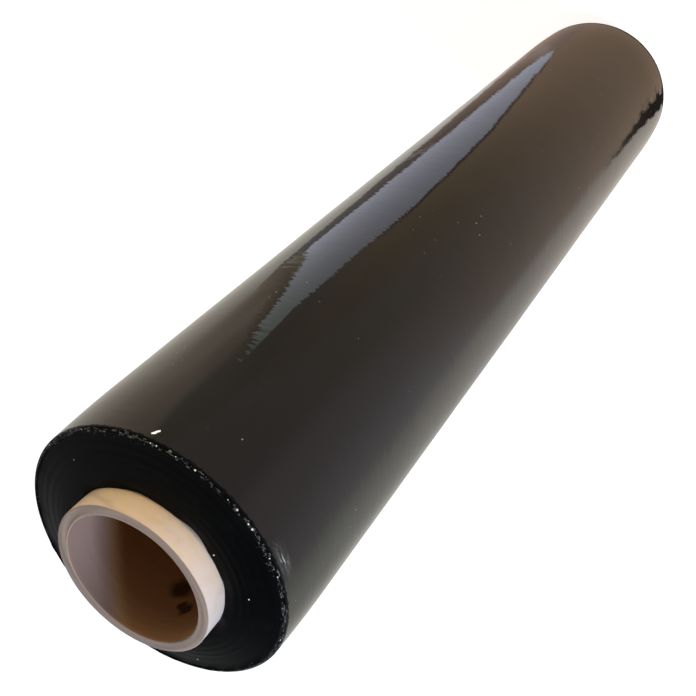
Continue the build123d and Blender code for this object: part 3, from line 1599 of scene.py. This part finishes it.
    def lay_patch(self, patch: Patch) -> None:
        """Lay a sharp patch: points spread over its ladder, then pulled round the axis.

        Args:
            patch: The patch.
        """
        along = np.linspace(0.0, len(patch.rungs) - 1.0, 400)
        across = np.linspace(0.0, 1.0, 80)
        flat = self.between([rung.ends for rung in patch.rungs], along, across)
        radius = np.hypot(flat[..., 0], flat[..., 1])
        teeth = across * np.clip(self.sway(radius, seed=59), 0.0, 1.0) ** 2
        pull = self.sway_deg * self.sway(radius, seed=53) + patch.fringe_deg * teeth
        azimuth = np.arctan2(flat[..., 0], -flat[..., 1]) + np.radians(pull)
        board = surface(patch.name, turned(radius, np.full(radius.shape, patch.lift), azimuth))
        colours = self.between([rung.colours for rung in patch.rungs], along, across)
        tint_points(board, "tone", colours)
        board.data.materials.append(GlowingBoard(patch.name + "_glow").material())
        self.mirror_only(board)

    def hang_lamp(self, lamp: Lamp) -> None:
        """Hang a lamp in its direction from the roll's upper end, facing it.

        Args:
            lamp: The lamp, which doesn't show in reflections.
        """
        azimuth, elevation = math.radians(lamp.azimuth_deg), math.radians(lamp.elevation_deg)
        level = math.cos(elevation)
        towards = Vector((math.sin(azimuth) * level, -math.cos(azimuth) * level, math.sin(elevation)))
        light = bpy.data.lights.new(lamp.name, "AREA")
        light.shape = "RECTANGLE"
        light.size, light.size_y = lamp.size
        light.energy = lamp.power
        light.color = lamp.colour
        hung = bpy.data.objects.new(lamp.name, light)
        place = Vector((0.0, 0.0, self.roll_top)) + towards * lamp.distance
        facing = towards.to_track_quat("Z", "Y").to_matrix().to_4x4()
        hung.matrix_world = Matrix.Translation(place) @ facing
        hung.visible_camera = False
        hung.visible_glossy = False
        bpy.context.scene.collection.objects.link(hung)

    def light_room(self) -> None:
        """Put up the backdrop: pale near the horizon, dark overhead, with one soft glow behind."""
        world = bpy.data.worlds.new("studio_room")
        bpy.context.scene.world = world
        graph = Graph(world)
        towards = graph.coordinates["Generated"]
        upwards = graph.add("ShaderNodeSeparateXYZ", {0: towards}).outputs["Z"]
        backdrop = graph.blend(graph.ramp(upwards, 0.04, 0.38), self.horizon, self.overhead)
        facing = graph.vector("DOT_PRODUCT", towards, self.glow_towards).outputs["Value"]
        glow = graph.ramp(facing, 0.80, 1.0, 0.0, self.glow)
        lit = graph.vector("ADD", backdrop, glow).outputs[0]
        graph.close("ShaderNodeBackground", {"Color": lit}, "ShaderNodeOutputWorld")

    def build(self) -> None:
        """Set up the whole studio."""
        self.lay_floor()
        self.lay_soft_board()
        for patch in self.patches:
            self.lay_patch(patch)
        for lamp in self.lamps:
            self.hang_lamp(lamp)
        self.light_room()


@dataclass
class Viewpoint:
    """The camera, which looks steeply down the standing roll and is turned on its side.

    Attributes:
        eye: Where the camera stands.
        aim: Point near the roll's axis in the middle of the view.
        roll_deg: Turn about the line of sight, from upright towards the right.
        lens: Focal length on the sensor.
        sensor: Width of the sensor in millimetres.
    """

    eye: Vector = field(default_factory=lambda: Vector((0.0, -0.2848, 0.6867)))
    aim: Vector = field(default_factory=lambda: Vector((0.0011, 0.0, 0.3746)))
    roll_deg: float = 136.36
    lens: float = 51.1
    sensor: float = 36.0

    def build(self) -> None:
        """Stand the camera in its place and make it the scene's own."""
        forward = (self.aim - self.eye).normalized()
        level = forward.cross(Vector((0.0, 0.0, 1.0))).normalized()
        upright = level.cross(forward)
        roll = math.radians(self.roll_deg)
        up = upright * math.cos(roll) + level * math.sin(roll)
        turned_frame = Matrix((forward.cross(up), up, -forward)).transposed().to_4x4()
        camera = bpy.data.cameras.new("roll_camera")
        camera.lens = self.lens
        camera.sensor_width = self.sensor
        camera.clip_start = 0.01
        camera.clip_end = 200.0
        stand = bpy.data.objects.new("roll_camera", camera)
        stand.matrix_world = Matrix.Translation(self.eye) @ turned_frame
        bpy.context.scene.collection.objects.link(stand)
        bpy.context.scene.camera = stand


def main() -> None:
    """Build the camera, the studio and the roll in order."""
    logging.basicConfig(level=logging.INFO, format="%(name)s: %(message)s")
    for leftover in list(bpy.data.objects):
        bpy.data.objects.remove(leftover)
    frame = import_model()
    bore = next(mount for mount in frame["record"]["mounts"] if mount["name"] == "core_bore")
    core_low, core_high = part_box("core_tube")
    film_low, film_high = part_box("film_roll")
    Viewpoint().build()
    Studio(roll_top=core_high.z).build()
    core = CoreTube(low=core_low, high=core_high, bore_radius=bore["dims"]["r_mm"] * MM)
    film = FilmRoll(low=film_low, high=film_high, core_radius=core_high.x)
    for part in (core, film):
        piece = part.build()
        points, faces = len(piece.data.vertices), len(piece.data.polygons)
        log.info("%s: %d points, %d faces", piece.name, points, faces)
    bpy.context.scene.view_settings.view_transform = "Standard"
    bpy.context.scene.view_settings.look = "None"


if __name__ == "__main__":
    main()
